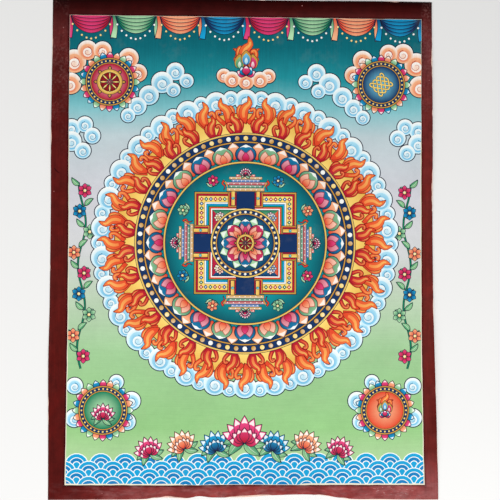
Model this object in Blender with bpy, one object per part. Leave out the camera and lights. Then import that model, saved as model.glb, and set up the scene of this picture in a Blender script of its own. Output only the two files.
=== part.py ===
"""A painted thangka before it is mounted: one cut sheet of primed cotton that lies on a flat surface.

Metres, +Z up. X runs across the picture and Y up it, and the painted face looks up. The origin is on
the surface, under the middle of the sheet. The sheet touches the surface over most of its underside;
its cut edges lift a little between the corners, and a few long, low swells cross it, because the
canvas was rolled up once.
"""

import math

import bmesh
import bpy

MM = 0.001

# The driving dimensions: the painted picture, the sheet's thickness and the space between mesh lines.
PICTURE_WIDTH = 380 * MM
PICTURE_HEIGHT = 501 * MM
THICKNESS = 1.2 * MM
COLUMN_STEP = 8 * MM
ROW_STEP = 15 * MM
RIM_ROW_STEP = 7 * MM

# How far in from the cut edge each side starts to lift, and the least height that counts as lifted.
RIM = {"bottom": 46 * MM, "top": 40 * MM, "left": 30 * MM, "right": 34 * MM}
TOUCHING = 0.03 * MM

# The painted border round the picture, cut by hand, so its width changes along each side, and the
# height of the cut edge over the surface. Columns: place along the side, width, lift, all in mm.
# The place is measured from the picture's middle, to the right or upwards.
BOTTOM_BORDER = (
    (-190, 15.6, 0.0),
    (-150, 15.2, 0.6),
    (-106, 13.9, 2.2),
    (-84, 11.7, 3.2),
    (-60, 12.9, 3.0),
    (-48, 10.3, 3.6),
    (-34, 12.0, 3.2),
    (5, 11.2, 3.8),
    (25, 9.4, 4.6),
    (61, 8.1, 5.2),
    (83, 9.5, 4.4),
    (97, 12.2, 3.2),
    (113, 14.6, 2.0),
    (150, 15.9, 0.7),
    (190, 16.6, 0.0),
)
TOP_BORDER = (
    (-190, 17.6, 0.0),
    (-120, 17.4, 0.6),
    (-50, 17.5, 1.6),
    (40, 16.6, 2.4),
    (90, 17.2, 1.8),
    (150, 18.2, 0.6),
    (190, 18.3, 0.0),
)
LEFT_BORDER = (
    (-250, 17.0, 0.0),
    (-190, 17.3, 0.7),
    (-120, 17.6, 1.6),
    (-60, 17.5, 0.0),
    (40, 17.4, 0.0),
    (120, 17.6, 1.4),
    (200, 17.5, 0.5),
    (250, 17.6, 0.0),
)
RIGHT_BORDER = (
    (-250, 17.4, 0.0),
    (-180, 15.2, 1.5),
    (-116, 13.1, 2.2),
    (-65, 12.3, 1.0),
    (30, 11.7, 0.0),
    (110, 11.7, 1.2),
    (190, 11.6, 0.8),
    (250, 11.3, 0.0),
)

# The low swells. Columns: middle x and y, heading of the crest in degrees from X, half its length,
# half its width, height. The lengths are in mm.
SWELLS = (
    (-70, 150, 6, 150, 34, 0.9),
    (95, 62, -12, 120, 30, 0.8),
    (-60, -70, 10, 140, 36, 1.0),
    (70, -170, -5, 130, 32, 0.9),
)

BORDER_MAROON = (0.105, 0.018, 0.014, 1.0)
PAINT_ROUGHNESS = 0.62


def read_table(table, place, column):
    """A smooth curve through one column of a table, at a place along the side."""
    rows = [(row[0] * MM, row[column] * MM) for row in table]
    place = min(max(place, rows[0][0]), rows[-1][0])
    after = next(i for i in range(1, len(rows)) if place <= rows[i][0])
    (start, low), (end, high) = rows[after - 1], rows[after]
    before = rows[max(after - 2, 0)]
    beyond = rows[min(after + 1, len(rows) - 1)]
    slope_in = (high - before[1]) / (end - before[0])
    slope_out = (beyond[1] - low) / (beyond[0] - start)
    span = end - start
    t = (place - start) / span
    return (
        low * (1 + 2 * t) * (1 - t) ** 2
        + high * t * t * (3 - 2 * t)
        + span * slope_in * t * (1 - t) ** 2
        - span * slope_out * t * t * (1 - t)
    )


def width_at(table, place):
    return read_table(table, place, 1)


def lift_at(table, place):
    return max(read_table(table, place, 2), 0.0)


def side_lift(table, place, inward, rim):
    """How high one side is raised, at a distance inwards from its cut edge."""
    if inward >= rim:
        return 0.0
    return lift_at(table, place) * (1 - inward / rim) ** 2


def swell_height(x, y):
    """The low swells: rounded ridges that fade out at their ends."""
    height = 0.0
    for middle_x, middle_y, heading, half_length, half_width, crest in SWELLS:
        turn = math.radians(heading)
        dx = x - middle_x * MM
        dy = y - middle_y * MM
        along = (dx * math.cos(turn) + dy * math.sin(turn)) / (half_length * MM)
        across = (dy * math.cos(turn) - dx * math.sin(turn)) / (half_width * MM)
        if abs(along) < 1 and abs(across) < 1:
            fade = math.cos(along * math.pi / 2) ** 2
            height += crest * MM * fade * math.cos(across * math.pi / 2) ** 2
    return height


def sheet_point(across, up):
    """A point of the underside. Inside the picture, across and up are metres from its middle; past
    its edge, each further unit is the whole width of the border there."""
    half_width = PICTURE_WIDTH / 2
    half_height = PICTURE_HEIGHT / 2
    x = min(max(across, -half_width), half_width)
    y = min(max(up, -half_height), half_height)
    left = half_width + width_at(LEFT_BORDER, y)
    right = half_width + width_at(RIGHT_BORDER, y)
    bottom = half_height + width_at(BOTTOM_BORDER, x)
    top = half_height + width_at(TOP_BORDER, x)
    past_x = abs(across) - half_width
    past_y = abs(up) - half_height
    place_x, place_y = x, y
    if past_x > 0:
        x += past_x * ((right if x > 0 else left) - half_width) * math.copysign(1, x)
    if past_y > 0:
        y += past_y * ((top if y > 0 else bottom) - half_height) * math.copysign(1, y)
    z = (
        side_lift(BOTTOM_BORDER, place_x, bottom + y, RIM["bottom"])
        + side_lift(TOP_BORDER, place_x, top - y, RIM["top"])
        + side_lift(LEFT_BORDER, place_y, left + x, RIM["left"])
        + side_lift(RIGHT_BORDER, place_y, right - x, RIM["right"])
        + swell_height(x, y)
    )
    return (x, y, z if z > TOUCHING else 0.0)


def even_places(low, high, step):
    count = math.ceil((high - low) / step)
    return [low + (high - low) * i / count for i in range(count + 1)]


def column_places():
    """The mesh's columns: the left border, the picture, the right border."""
    half = PICTURE_WIDTH / 2
    return [-half - 1, -half - 0.5] + even_places(-half, half, COLUMN_STEP) + [half + 0.5, half + 1]


def row_places():
    """The mesh's rows, closer together near the top and bottom edges, which lift the most."""
    half = PICTURE_HEIGHT / 2
    low = -half + RIM["bottom"]
    high = half - RIM["top"]
    picture = even_places(-half, low, RIM_ROW_STEP)[:-1]
    picture += even_places(low, high, ROW_STEP)[:-1]
    picture += even_places(high, half, RIM_ROW_STEP)
    return [-half - 1, -half - 0.5] + picture + [half + 0.5, half + 1]


def centred(points):
    """The points, moved so that the middle of their box is over the origin."""
    xs = [point[0] for point in points]
    ys = [point[1] for point in points]
    middle_x = (min(xs) + max(xs)) / 2
    middle_y = (min(ys) + max(ys)) / 2
    return [(x - middle_x, y - middle_y, z) for x, y, z in points]


def build_sheet(mesh):
    """One closed solid: the underside, the painted face above it and the cut edge all round."""
    columns = column_places()
    rows = row_places()
    under = centred([sheet_point(across, up) for up in rows for across in columns])
    shape = bmesh.new()
    lower = [shape.verts.new(point) for point in under]
    upper = [shape.verts.new((x, y, z + THICKNESS)) for x, y, z in under]
    wide = len(columns)
    for row in range(len(rows) - 1):
        for column in range(wide - 1):
            first = row * wide + column
            corners = (first, first + 1, first + wide + 1, first + wide)
            shape.faces.new([upper[i] for i in corners])
            shape.faces.new([lower[i] for i in reversed(corners)])
    last = len(rows) * wide
    rim = list(range(wide))
    rim += list(range(2 * wide - 1, last, wide))
    rim += list(range(last - 2, last - wide - 1, -1))
    rim += list(range(last - 2 * wide, 0, -wide))
    for here, after in zip(rim, rim[1:] + rim[:1]):
        shape.faces.new((lower[here], lower[after], upper[after], upper[here]))
    bmesh.ops.triangulate(shape, faces=shape.faces[:])
    shape.to_mesh(mesh)
    shape.free()


def painted_cotton():
    material = bpy.data.materials.new("painted_cotton")
    material.use_nodes = True
    shader = material.node_tree.nodes["Principled BSDF"]
    shader.inputs["Base Color"].default_value = BORDER_MAROON
    shader.inputs["Roughness"].default_value = PAINT_ROUGHNESS
    shader.inputs["Metallic"].default_value = 0.0
    return material


def main():
    for leftover in list(bpy.data.objects):
        bpy.data.objects.remove(leftover, do_unlink=True)
    mesh = bpy.data.meshes.new("canvas")
    build_sheet(mesh)
    mesh.materials.append(painted_cotton())
    mesh.shade_smooth()
    mesh.set_sharp_from_angle(angle=math.radians(40))
    canvas = bpy.data.objects.new("canvas", mesh)
    bpy.context.scene.collection.objects.link(canvas)


main()
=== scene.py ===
"""Looks of a painted thangka before it is mounted: one sheet of primed cotton with a painted border.

The sheet is a closed mesh. Its front is a planar map: the painting is drawn as flat shapes in
picture millimetres, later shapes over earlier ones, and the triangles between their outlines carry
the paint's colour. The picture is a mandala of traditional ornament.
"""

import functools
import math
import random

import bpy
import numpy as np
from mathutils import Euler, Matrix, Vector
from mathutils.geometry import delaunay_2d_cdt


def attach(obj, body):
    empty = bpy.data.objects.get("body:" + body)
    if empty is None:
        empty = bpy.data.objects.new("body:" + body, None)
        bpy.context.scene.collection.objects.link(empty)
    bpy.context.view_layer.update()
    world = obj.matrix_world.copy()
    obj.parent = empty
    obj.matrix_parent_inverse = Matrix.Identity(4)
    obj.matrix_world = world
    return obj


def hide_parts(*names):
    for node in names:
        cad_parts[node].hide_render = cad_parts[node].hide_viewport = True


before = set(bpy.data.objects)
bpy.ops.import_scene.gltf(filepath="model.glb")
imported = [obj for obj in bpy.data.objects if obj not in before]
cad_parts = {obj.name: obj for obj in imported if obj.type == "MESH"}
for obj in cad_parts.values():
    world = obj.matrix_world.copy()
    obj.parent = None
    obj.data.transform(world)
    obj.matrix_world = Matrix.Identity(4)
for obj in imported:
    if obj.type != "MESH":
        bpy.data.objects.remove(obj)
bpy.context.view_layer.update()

MM = 0.001
TURN = 2 * math.pi

# ---- the sheet, in millimetres

HALF = np.array([190.0, 250.5])  # half of the picture's width and height
THICKNESS = 1.2
RIM = {"bottom": 46, "top": 40, "left": 30, "right": 34}  # how far in each side starts to lift
TOUCHING = 0.03  # the least height that counts as lifted
OUTLINE_STEP = 2.8
FRONT_GRID, BACK_GRID = (8.0, 1.5), (12.0, 4)  # inner points: step, least distance from the cut edge

# Columns: place along the side from the picture's middle, border width, lift of the cut edge.
BOTTOM_BORDER = (
    (-190, 15.6, 0.0), (-150, 15.2, 0.6), (-106, 13.9, 2.2), (-84, 11.7, 3.2), (-60, 12.9, 3.0),
    (-48, 10.3, 3.6), (-34, 12.0, 3.2), (5, 11.2, 3.8), (25, 9.4, 4.6), (61, 8.1, 5.2),
    (83, 9.5, 4.4), (97, 12.2, 3.2), (113, 14.6, 2.0), (150, 15.9, 0.7), (190, 16.6, 0.0),
)
TOP_BORDER = (
    (-190, 17.6, 0.0), (-120, 17.4, 0.6), (-50, 17.5, 1.6), (40, 16.6, 2.4), (90, 17.2, 1.8),
    (150, 18.2, 0.6), (190, 18.3, 0.0),
)
LEFT_BORDER = (
    (-250, 17.0, 0.0), (-190, 17.3, 0.7), (-120, 17.6, 1.6), (-60, 17.5, 0.0), (40, 17.4, 0.0),
    (120, 17.6, 1.4), (200, 17.5, 0.5), (250, 17.6, 0.0),
)
RIGHT_BORDER = (
    (-250, 17.4, 0.0), (-180, 15.2, 1.5), (-116, 13.1, 2.2), (-65, 12.3, 1.0), (30, 11.7, 0.0),
    (110, 11.7, 1.2), (190, 11.6, 0.8), (250, 11.3, 0.0),
)
# Low swells. Columns: middle x and y, heading of the crest in degrees, half length, half width, height.
SWELLS = (
    (-70, 150, 6, 150, 34, 0.9), (95, 62, -12, 120, 30, 0.8), (-60, -70, 10, 140, 36, 1.0),
    (70, -170, -5, 130, 32, 0.9),
)


def read_table(table, places, column):
    """A smooth curve through one column of a table, at places along the side."""
    where, values = np.array(table, float)[:, [0, column]].T
    places = np.clip(places, where[0], where[-1])
    # Each row's slope is taken between its two neighbours, and the end rows' to their only one.
    ahead, behind = np.r_[1, 2 : len(where), -1], np.r_[0, 0 : len(where) - 2, -2]
    slopes = (values[ahead] - values[behind]) / (where[ahead] - where[behind])
    i = np.clip(np.searchsorted(where, places, side="right") - 1, 0, len(where) - 2)
    span = where[i + 1] - where[i]
    t = (places - where[i]) / span
    return (
        values[i] * (1 + 2 * t) * (1 - t) ** 2
        + values[i + 1] * t * t * (3 - 2 * t)
        + span * slopes[i] * t * (1 - t) ** 2
        - span * slopes[i + 1] * t * t * (1 - t)
    )


def cut_edges(across, up):
    """How far each side's cut edge lies from the picture's middle, at places along the side."""
    bottom, top = [HALF[1] + read_table(table, across, 1) for table in (BOTTOM_BORDER, TOP_BORDER)]
    left, right = [HALF[0] + read_table(table, up, 1) for table in (LEFT_BORDER, RIGHT_BORDER)]
    return bottom, top, left, right


def side_lift(table, places, inward, rim):
    lift = np.maximum(read_table(table, places, 2), 0)
    return lift * np.clip(1 - inward / rim, 0, 1) ** 2


def relief(points):
    """Height of the sheet's underside over the surface that it lies on."""
    x, y = points.T
    place_x, place_y = np.clip(points, -HALF, HALF).T
    bottom, top, left, right = cut_edges(place_x, place_y)
    height = (
        side_lift(BOTTOM_BORDER, place_x, bottom + y, RIM["bottom"])
        + side_lift(TOP_BORDER, place_x, top - y, RIM["top"])
        + side_lift(LEFT_BORDER, place_y, left + x, RIM["left"])
        + side_lift(RIGHT_BORDER, place_y, right - x, RIM["right"])
    )
    for middle_x, middle_y, heading, half_length, half_width, crest in SWELLS:
        turn = math.radians(heading)
        dx, dy = x - middle_x, y - middle_y
        along = np.clip((dx * math.cos(turn) + dy * math.sin(turn)) / half_length, -1, 1)
        across = np.clip((dy * math.cos(turn) - dx * math.sin(turn)) / half_width, -1, 1)
        height = height + crest * np.cos(along * math.pi / 2) ** 2 * np.cos(across * math.pi / 2) ** 2
    return np.where(height > TOUCHING, height, 0.0)


def cut_outline():
    """The sheet's cut edge, anticlockwise from its lower left corner."""
    across, up = [np.linspace(-half, half, int(2 * half / OUTLINE_STEP) + 1) for half in HALF]
    bottom, top, left, right = cut_edges(across, up)
    corners = ((-left[0], -bottom[0]), (right[0], -bottom[-1]), (right[-1], top[-1]), (-left[-1], top[0]))
    sides = ((across, -bottom), (right, up), (across[::-1], top[::-1]), (-left[::-1], up[::-1]))
    runs = [([corner], np.stack(side, 1)) for corner, side in zip(corners, sides)]
    return np.concatenate([points for run in runs for points in run])


OUTLINE = cut_outline()
PICTURE_TO_FRAME = -(OUTLINE.min(0) + OUTLINE.max(0)) / 2

# ---- paint


def paint(code):
    """A pigment from its sRGB code, as linear light."""
    srgb = np.array([int(code[i : i + 2], 16) for i in (0, 2, 4)]) / 255
    return np.where(srgb <= 0.04045, srgb / 12.92, ((srgb + 0.055) / 1.055) ** 2.4)


def painted(rows):
    """A table whose first column is a place and whose others are pigments."""
    return [(place, *map(paint, codes)) for place, *codes in rows]


INK = paint("101a34")
DARK_RED = paint("7a120e")
TEAL_DEEP = paint("00525e")
TEAL = paint("00818a")
TURQUOISE = paint("14b0b6")
NAVY = paint("10305e")
BLUE = paint("0d5fa6")
BRIGHT_BLUE = paint("149ccd")
SKY = paint("76c8e3")
PALE_BLUE = paint("c6e8f3")
WHITE = paint("f6f6f0")
PALE_GREEN = paint("b4dfae")
SAGE = paint("8cc08a")
GREEN = paint("2a935c")
EMERALD = paint("077a55")
OCHRE = paint("e2aa48")
GOLD = paint("c9953c")
YELLOW = paint("f5d271")
ORANGE = paint("ee743a")
VERMILION = paint("dc4526")
CRIMSON = paint("b0102c")
PINK = paint("e2457f")
ROSE = paint("f4a6bf")
PEACH = paint("f2b286")
PRIMING = paint("ddcfb6")
MAROON_DARK = paint("30040a")
BARE_GROUND = paint("e8e0c6")
RAW_COTTON = paint("dcc3b2")
FLECK = paint("a87672")

TINY = 1e-9
DISC_POINTS = (8, 140)  # the fewest and the most points of a disc
SHARP_IN, SHARP_OUT = 0.3, 0.5  # keep a sharp corner from moving far, inwards and outwards
ROUND_END = 0.14  # share of a blunt blade's length that its round end takes
LINE_TIP = 0.25  # share of a brush line's width that is left at its ends

shapes = []  # (closed outlines, colour of the paint at points), in the order of painting


def lay(outlines, shade):
    """Paints one shape. A second outline inside the first is a hole. A shade is one colour or a
    function from points to colours."""
    rings = outlines if isinstance(outlines, list) else [outlines]
    shapes.append(([np.asarray(ring, float) for ring in rings], shade))


def blend(first, last, share):
    return first * (1 - share) + last * share


def fade(start, end, first, last):
    """Paint that blends from one colour to another, between two points."""
    axis = (end - start) / np.dot(end - start, end - start)
    return lambda points: blend(first, last, np.clip((points - start) @ axis, 0, 1)[:, None])


def upward(spot, low, high, first, last):
    """Paint that blends from one colour to another, up a motif."""
    return fade(spot((0, low)), spot((0, high)), first, last)


def glow(middle, inner, outer, first, last):
    """Paint that blends from an inner radius to an outer one."""

    def shade(points):
        away = np.linalg.norm(points - middle, axis=1)
        return blend(first, last, np.clip((away - inner) / (outer - inner), 0, 1)[:, None])

    return shade


class Spot:
    """A place on the picture, with a turn in degrees, a scale and a mirror image. A motif is drawn
    round (0, 0) with +Y up, and its spot moves it to where it goes."""

    def __init__(self, x=0.0, y=0.0, turn=0.0, flip=1.0, base=None):
        cosine, sine = math.cos(math.radians(turn)), math.sin(math.radians(turn))
        self.matrix = np.array([[cosine * flip, -sine], [sine * flip, cosine]])
        self.origin = np.array([x, y], float)
        if base:
            self.origin = base.origin + base.matrix @ self.origin
            self.matrix = base.matrix @ self.matrix

    def __call__(self, points):
        return np.asarray(points, float) @ self.matrix.T + self.origin

    def on(self, x=0.0, y=0.0, turn=0.0, flip=1.0):
        return Spot(x, y, turn, flip, self)


def around(spot, radius, count, first=0.0):
    """Spots on a circle, each with its +Y pointing outwards. The first is straight up."""
    for i in range(count):
        angle = first + 360 * i / count
        turned = math.radians(angle)
        yield i, spot.on(-radius * math.sin(turned), radius * math.cos(turned), angle)


def disc(radius, middle=(0.0, 0.0), count=None):
    count = count or int(np.clip(8 + radius * 1.6, *DISC_POINTS))
    angles = np.arange(count) * TURN / count
    return np.stack([np.cos(angles), np.sin(angles)], 1) * radius + middle


def discs(spot, rows, radius=1):
    """Concentric discs, from the largest: share of the radius, and shade."""
    for share, shade in rows:
        lay(spot(disc(radius * share)), shade)


def box(half_width, low, high):
    return np.array([(-half_width, low), (half_width, low), (half_width, high), (-half_width, high)], float)


def spline(points, steps):
    """A smooth open curve through the points."""
    p = np.asarray(points, float)
    p = np.concatenate([[2 * p[0] - p[1]], p, [2 * p[-1] - p[-2]]])
    t = (np.arange(steps) / steps)[:, None]
    runs = []
    for a, b, c, d in zip(p, p[1:], p[2:], p[3:]):
        bow = t**2 * (a - 2.5 * b + 2 * c - d / 2) + t**3 * (1.5 * (b - c) + (d - a) / 2)
        runs.append(b + t * (c - a) / 2 + bow)
    return np.concatenate(runs + [p[-2:-1]])


def mirrored(half):
    """A closed outline from its right half, which runs from the lower point to the upper one."""
    return np.concatenate([half, half[-2:0:-1] * (-1, 1)])


def unit(rows):
    """Each row, scaled to a length of 1."""
    return rows / np.maximum(np.linalg.norm(rows, axis=1, keepdims=True), TINY)


def grown(points, by):
    """A closed outline moved outwards by a distance, or inwards where it is negative."""
    ahead = unit(np.roll(points, -1, 0) - points)
    x, y = points.T
    way = np.sign(np.sum(x * np.roll(y, -1) - np.roll(x, -1) * y))
    normal = np.stack([ahead[:, 1], -ahead[:, 0]], 1) * way
    corner = unit(normal + np.roll(normal, 1, 0))
    spread = np.clip(np.sum(corner * normal, axis=1, keepdims=True), SHARP_OUT if by > 0 else SHARP_IN, 1)
    return points + corner * by / spread


def blade(spine, widths):
    """A closed outline round a curve, with a width at each of its points."""
    spine = np.asarray(spine, float)
    run = unit(np.gradient(spine, axis=0))
    side = np.stack([-run[:, 1], run[:, 0]], 1) * (np.broadcast_to(widths, len(spine)) / 2)[:, None]
    return np.concatenate([spine + side, (spine - side)[::-1]])


def taper(count, widest, power=0.8):
    """Widths from 0 to 1 and back to 0 along a blade, widest at a share of its length."""
    t = np.linspace(0, 1, count)
    bent = np.where(t < widest, t / widest / 2, 0.5 + (t - widest) / (1 - widest) / 2)
    return np.sin(bent * math.pi) ** power


def blunt(count):
    """Widths along a blade that narrows and ends round."""
    t = np.linspace(0, 1, count)
    return (1 - 0.4 * t) * np.sqrt(1 - np.clip((t - (1 - ROUND_END)) / ROUND_END, 0, 1) ** 2)


def lined(outline, shade, width=0.7, ink=INK):
    """A shape with an ink line round it."""
    lay(grown(outline, width / 2), ink)
    lay(grown(outline, -width / 2), shade)


def line(spot, points, width, colour, steps=5):
    """A brush line, thinner at its ends."""
    curve = spline(points, steps)
    lay(spot(blade(curve, width * (LINE_TIP + (1 - LINE_TIP) * taper(len(curve), 0.5)))), colour)


# ---- ornaments

RED_PAINT, BLUE_PAINT = (CRIMSON, PINK), (NAVY, BRIGHT_BLUE)
GREEN_PAINT, ORANGE_PAINT = (EMERALD, PALE_GREEN), (VERMILION, PEACH)
PAINTS = (RED_PAINT, BLUE_PAINT, GREEN_PAINT, ORANGE_PAINT)
SMALL_BUD = 13  # up to this height a bud has fewer points
ROSETTE_PETALS = 6
CURL_WIDTH, CURL_TURNS = 0.7, 1.15
KNOT_POINTS = 116
KNOT_BOUNCES = ((3, 0.125), (4, 0.25))  # times that the band crosses the square and back, and its start


def bead(spot, radius, colour):
    shine = glow(spot((-radius * 0.2, radius * 0.2)), 0, radius, blend(colour, WHITE, 0.7), colour)
    discs(spot, ((1, INK), (0.8, shine)), radius)


def petal_outline(width, height):
    half = spline([(0, 0), (0.33, 0.08), (0.5, 0.36), (0.44, 0.66), (0.18, 0.89), (0, 1)], 3)
    return mirrored(half * (width, height))


def bud_outline(width, height):
    """A petal with fewer points, for small motifs."""
    steps = 3 if height > SMALL_BUD else 2
    return mirrored(spline([(0, 0), (0.5, 0.36), (0.36, 0.74), (0, 1)], steps) * (width, height))


def small_petal(spot, width, height, deep, light):
    whole = bud_outline(width, height)
    lay(spot(grown(whole, 0.4)), INK)
    lay(spot(grown(whole, -0.3)), upward(spot, height * 0.1, height * 0.75, deep, light))
    cap = spline([(0, 0.72), (0.27, 0.72), (0, 0.94)], 3) * (width, height)
    lay(spot(mirrored(cap)), blend(light, WHITE, 0.8))


def petal(spot, width, height, outer, inner):
    """A large lotus petal: a deep outer leaf with a white tip, and pale double lobes at its heart."""
    whole = petal_outline(width, height)
    lay(spot(grown(whole, 0.5)), INK)
    tones = blend(outer[0], INK, 0.3), blend(outer[0], outer[1], 0.55)
    lay(spot(grown(whole, -0.3)), upward(spot, height * 0.1, height * 0.9, *tones))
    cap = spline([(0, 0.80), (0.16, 0.84), (0.31, 0.775), (0.17, 0.885), (0, 0.965)], 2)
    lay(spot(mirrored(cap * (width, height))), WHITE)
    pale = blend(inner[1], WHITE, 0.35)
    lobes = [(spot.on(lean * width * 0.14, height * 0.02, -lean * 9), 0.4, 0.68, pale) for lean in (1, -1)]
    for place, wide, tall, light in lobes + [(spot, 0.34, 0.54, inner[1])]:
        shade = fade(spot((0, height * 0.1)), place((0, height * tall)), inner[0], light)
        lined(place(bud_outline(width * wide, height * tall)), shade, 0.6, blend(inner[0], INK, 0.4))


def leaf(spot, length, deep, light):
    """A leaf of two tones with a pale midrib."""
    spine = spline([(0, 0), (length * 0.09, length * 0.5), (0, length)], 4)
    whole = blade(spine, length * 0.44 * taper(len(spine), 0.4))
    lined(spot(whole), fade(spot((-length * 0.16, 0)), spot((length * 0.24, 0)), deep, light))
    line(spot, spine[[1, 4, 7]], 0.5, blend(light, WHITE, 0.5), 2)


def rosette(spot, radius, deep, light):
    """A small open flower."""
    for _, place in around(spot, radius * 0.2, ROSETTE_PETALS):
        outline = place(bud_outline(radius * 4.2 / ROSETTE_PETALS, radius * 0.82))
        lined(outline, upward(place, 0, radius * 0.8, deep, light), 0.6)
    bead(spot, radius * 0.26, YELLOW)


def lotus(spot, size, deep, light):
    """A lotus seen from the side: leaves, a golden heart, back petals and front petals."""
    for lean in (-100, 100, -134, 134):
        leaf(spot.on(0, size * 0.08, lean), size * 0.86, EMERALD, SAGE)
    core = (0, size * 0.55)
    lay(spot(disc(size * 0.32, core)), glow(spot(core), 0, size * 0.32, YELLOW, OCHRE))
    for lean in (-66, 66, -44, 44, -22, 22, 0):
        small_petal(spot.on(0, 0, lean), size * 0.42, size * (1.06 - abs(lean) * 0.0016), deep, light)
    for lean in (-78, 78, -50, 50, -25, 25, 0):
        front = spot.on(0, -size * 0.04, lean)
        small_petal(front, size * 0.36, size * 0.62, deep, blend(deep, light, 0.6))


def curl(spot, radius, colour, way):
    """A spiral brush line, as inside a cloud's lobe."""
    t = np.linspace(0, 1, 12)
    angle = way * t * CURL_TURNS * TURN + math.pi / 2
    reach = radius * (1 - 0.84 * t)
    points = np.stack([np.cos(angle) * reach, np.sin(angle) * reach], 1)
    lay(spot(blade(points, CURL_WIDTH * (1.1 - 0.7 * t))), colour)


def cloud(spot, lobes, deep=BRIGHT_BLUE, mid=SKY, pale=PALE_BLUE):
    """A bank of cloud from overlapping lobes: x, y, radius. Each is white at its rim and shaded
    inside. A radius under 0 turns its curl round."""
    for x, y, size in lobes:
        lay(spot(disc(abs(size) + 0.6, (x, y))), INK)
    for x, y, size in lobes:
        radius = abs(size)
        place = spot.on(x, y)
        low = place((0, -radius * 0.3))
        for reach, drop, shade in (
            (radius - 0.4, 0.0, glow(low, radius * 0.72, radius * 1.2, pale, WHITE)),
            (radius * 0.72, 0.12, glow(low, radius * 0.15, radius * 0.78, deep, blend(mid, pale, 0.6))),
            (radius * 0.44, 0.22, glow(low, 0, radius * 0.44, mid, WHITE)),
        ):
            lay(place(disc(reach, (0, -radius * drop))), shade)
        inner = place.on(0, -radius * 0.16)
        curl(inner, radius * 0.5, blend(deep, INK, 0.45), math.copysign(1, size))


# The parts of one flame. Columns: points of the spine, width, whether it ends in a round hook.
FLAME = (
    (((-1.6, -3), (-6.2, 4), (-8.2, 10), (-6.2, 14.6), (-3.0, 13.4), (-3.9, 10.8)), 5.0, True),
    (((2.0, -3), (7.0, 2.6), (9.8, 7.6), (8.6, 11.8), (5.6, 11.2), (6.2, 8.8)), 4.6, True),
    (((0, -4), (-2.8, 6), (-1.2, 13), (3.8, 18.4), (2.4, 26)), 9.6, False),
)


def flame(spot, reach, deep, light):
    """Flame as a scroll: a tongue that licks upwards between two hooks."""
    for points, width, hooked in FLAME:
        spine = spline(np.array(points) * reach, 3)
        widths = width * reach * (blunt(len(spine)) if hooked else taper(len(spine), 0.3, 0.75))
        whole = spot(blade(spine, widths))
        lay(grown(whole, 0.45), DARK_RED)
        lay(grown(whole, -0.15), upward(spot, 0, 22 * reach, deep, light))
        core = spot(blade(spine[2:-2], widths[2:-2] * 0.34))
        lay(core, upward(spot, 0, 20 * reach, light, blend(light, YELLOW, 0.6)))


def jewel(spot, width, height, deep, light):
    """A drop-shaped jewel in a gold rim."""
    whole = petal_outline(width, height)
    lay(spot(grown(whole, 0.5)), INK)
    lay(spot(whole), GOLD)
    lay(spot(petal_outline(width * 0.78, height * 0.8)), upward(spot, 0, height * 0.8, deep, light))
    lay(spot(bud_outline(width * 0.34, height * 0.5)), upward(spot, 0, height * 0.5, light, WHITE))


def jewels(spot, size):
    """Three flaming jewels on a lotus."""
    for lean, reach in ((48, 0.9), (-48, 0.9), (0, 1.25)):
        root = spot.on(0, size * 0.3, lean, -1 if lean < 0 else 1)
        flame(root, size * reach / 24, VERMILION, ORANGE)
    for x, y, deep, light in ((-0.34, 0, EMERALD, SAGE), (0.34, 0, CRIMSON, PINK), (0, 0.2, BLUE, SKY)):
        jewel(spot.on(x * size, y * size), size * 0.5, size * 0.74, deep, light)
    for i, lean in enumerate((-66, 66, -33, 33, 0)):
        place = spot.on(0, -size * 0.36, lean)
        small_petal(place, size * 0.4, size * 0.52, *PAINTS[i // 2 % 2])


def wheel(spot, radius):
    """A wheel with eight spokes."""
    for _, place in around(spot, radius * 0.96, 8):
        lined(place(bud_outline(radius * 0.26, radius * 0.3)), GOLD, 0.8)
    rim = glow(spot.origin, radius * 0.76, radius, YELLOW, GOLD)
    field = glow(spot.origin, 0, radius * 0.75, CRIMSON, DARK_RED)
    lay(spot(disc(radius + 0.5)), INK)
    discs(spot, ((1, rim), (0.78, INK), (0.75, field)), radius)
    half = np.array([(0, 0), (0.05, 0), (0.045, 0.3), (0.085, 0.5), (0.04, 0.76), (0, 0.78)])
    for _, place in around(spot, 0, 8):
        lined(place(mirrored(half * radius)), YELLOW)
    bead(spot, radius * 0.24, GOLD)
    rosette(spot, radius * 0.17, CRIMSON, PINK)


def knot_path(size):
    """A closed path that bounces in a square, with its corners rounded."""
    t = (np.arange(KNOT_POINTS) + 0.5) / KNOT_POINTS
    path = np.stack([np.abs((t * n + shift) % 1 * 4 - 2) - 1 for n, shift in KNOT_BOUNCES], 1)
    for _ in range(3):
        path = (np.roll(path, 1, 0) + 2 * path + np.roll(path, -1, 0)) / 4
    return path * size


def cross(a, b):
    return a[..., 0] * b[..., 1] - a[..., 1] * b[..., 0]


def crossings(path):
    """Where a closed path crosses itself: the numbers of its edges, each crossing counted twice."""
    ahead = np.roll(path, -1, 0) - path
    long = np.linalg.norm(ahead, axis=1)
    gap, turn = path - path[:, None], cross(ahead[:, None], ahead)
    steep = np.abs(turn) > 0.3 * long[:, None] * long
    turn = np.where(steep, turn, 1.0)
    u, v = cross(gap, ahead) / turn, cross(gap, ahead[:, None]) / turn
    return np.nonzero(steep & (u >= 0) & (u < 1) & (v >= 0) & (v < 1))[0]


def endless_knot(spot, size):
    """An endless knot: one closed band that passes over and under itself in turn."""
    path = spot(knot_path(size))
    bands = ((1, size * 0.2, INK), (2, size * 0.12, YELLOW))
    for _, width, colour in bands:
        lay(blade(np.concatenate([path, path[:1]]), width), colour)
    for over in crossings(path)[::2]:
        for reach, width, colour in bands:
            lay(blade(path[np.arange(over - reach, over + reach + 2) % len(path)], width), colour)


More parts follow.
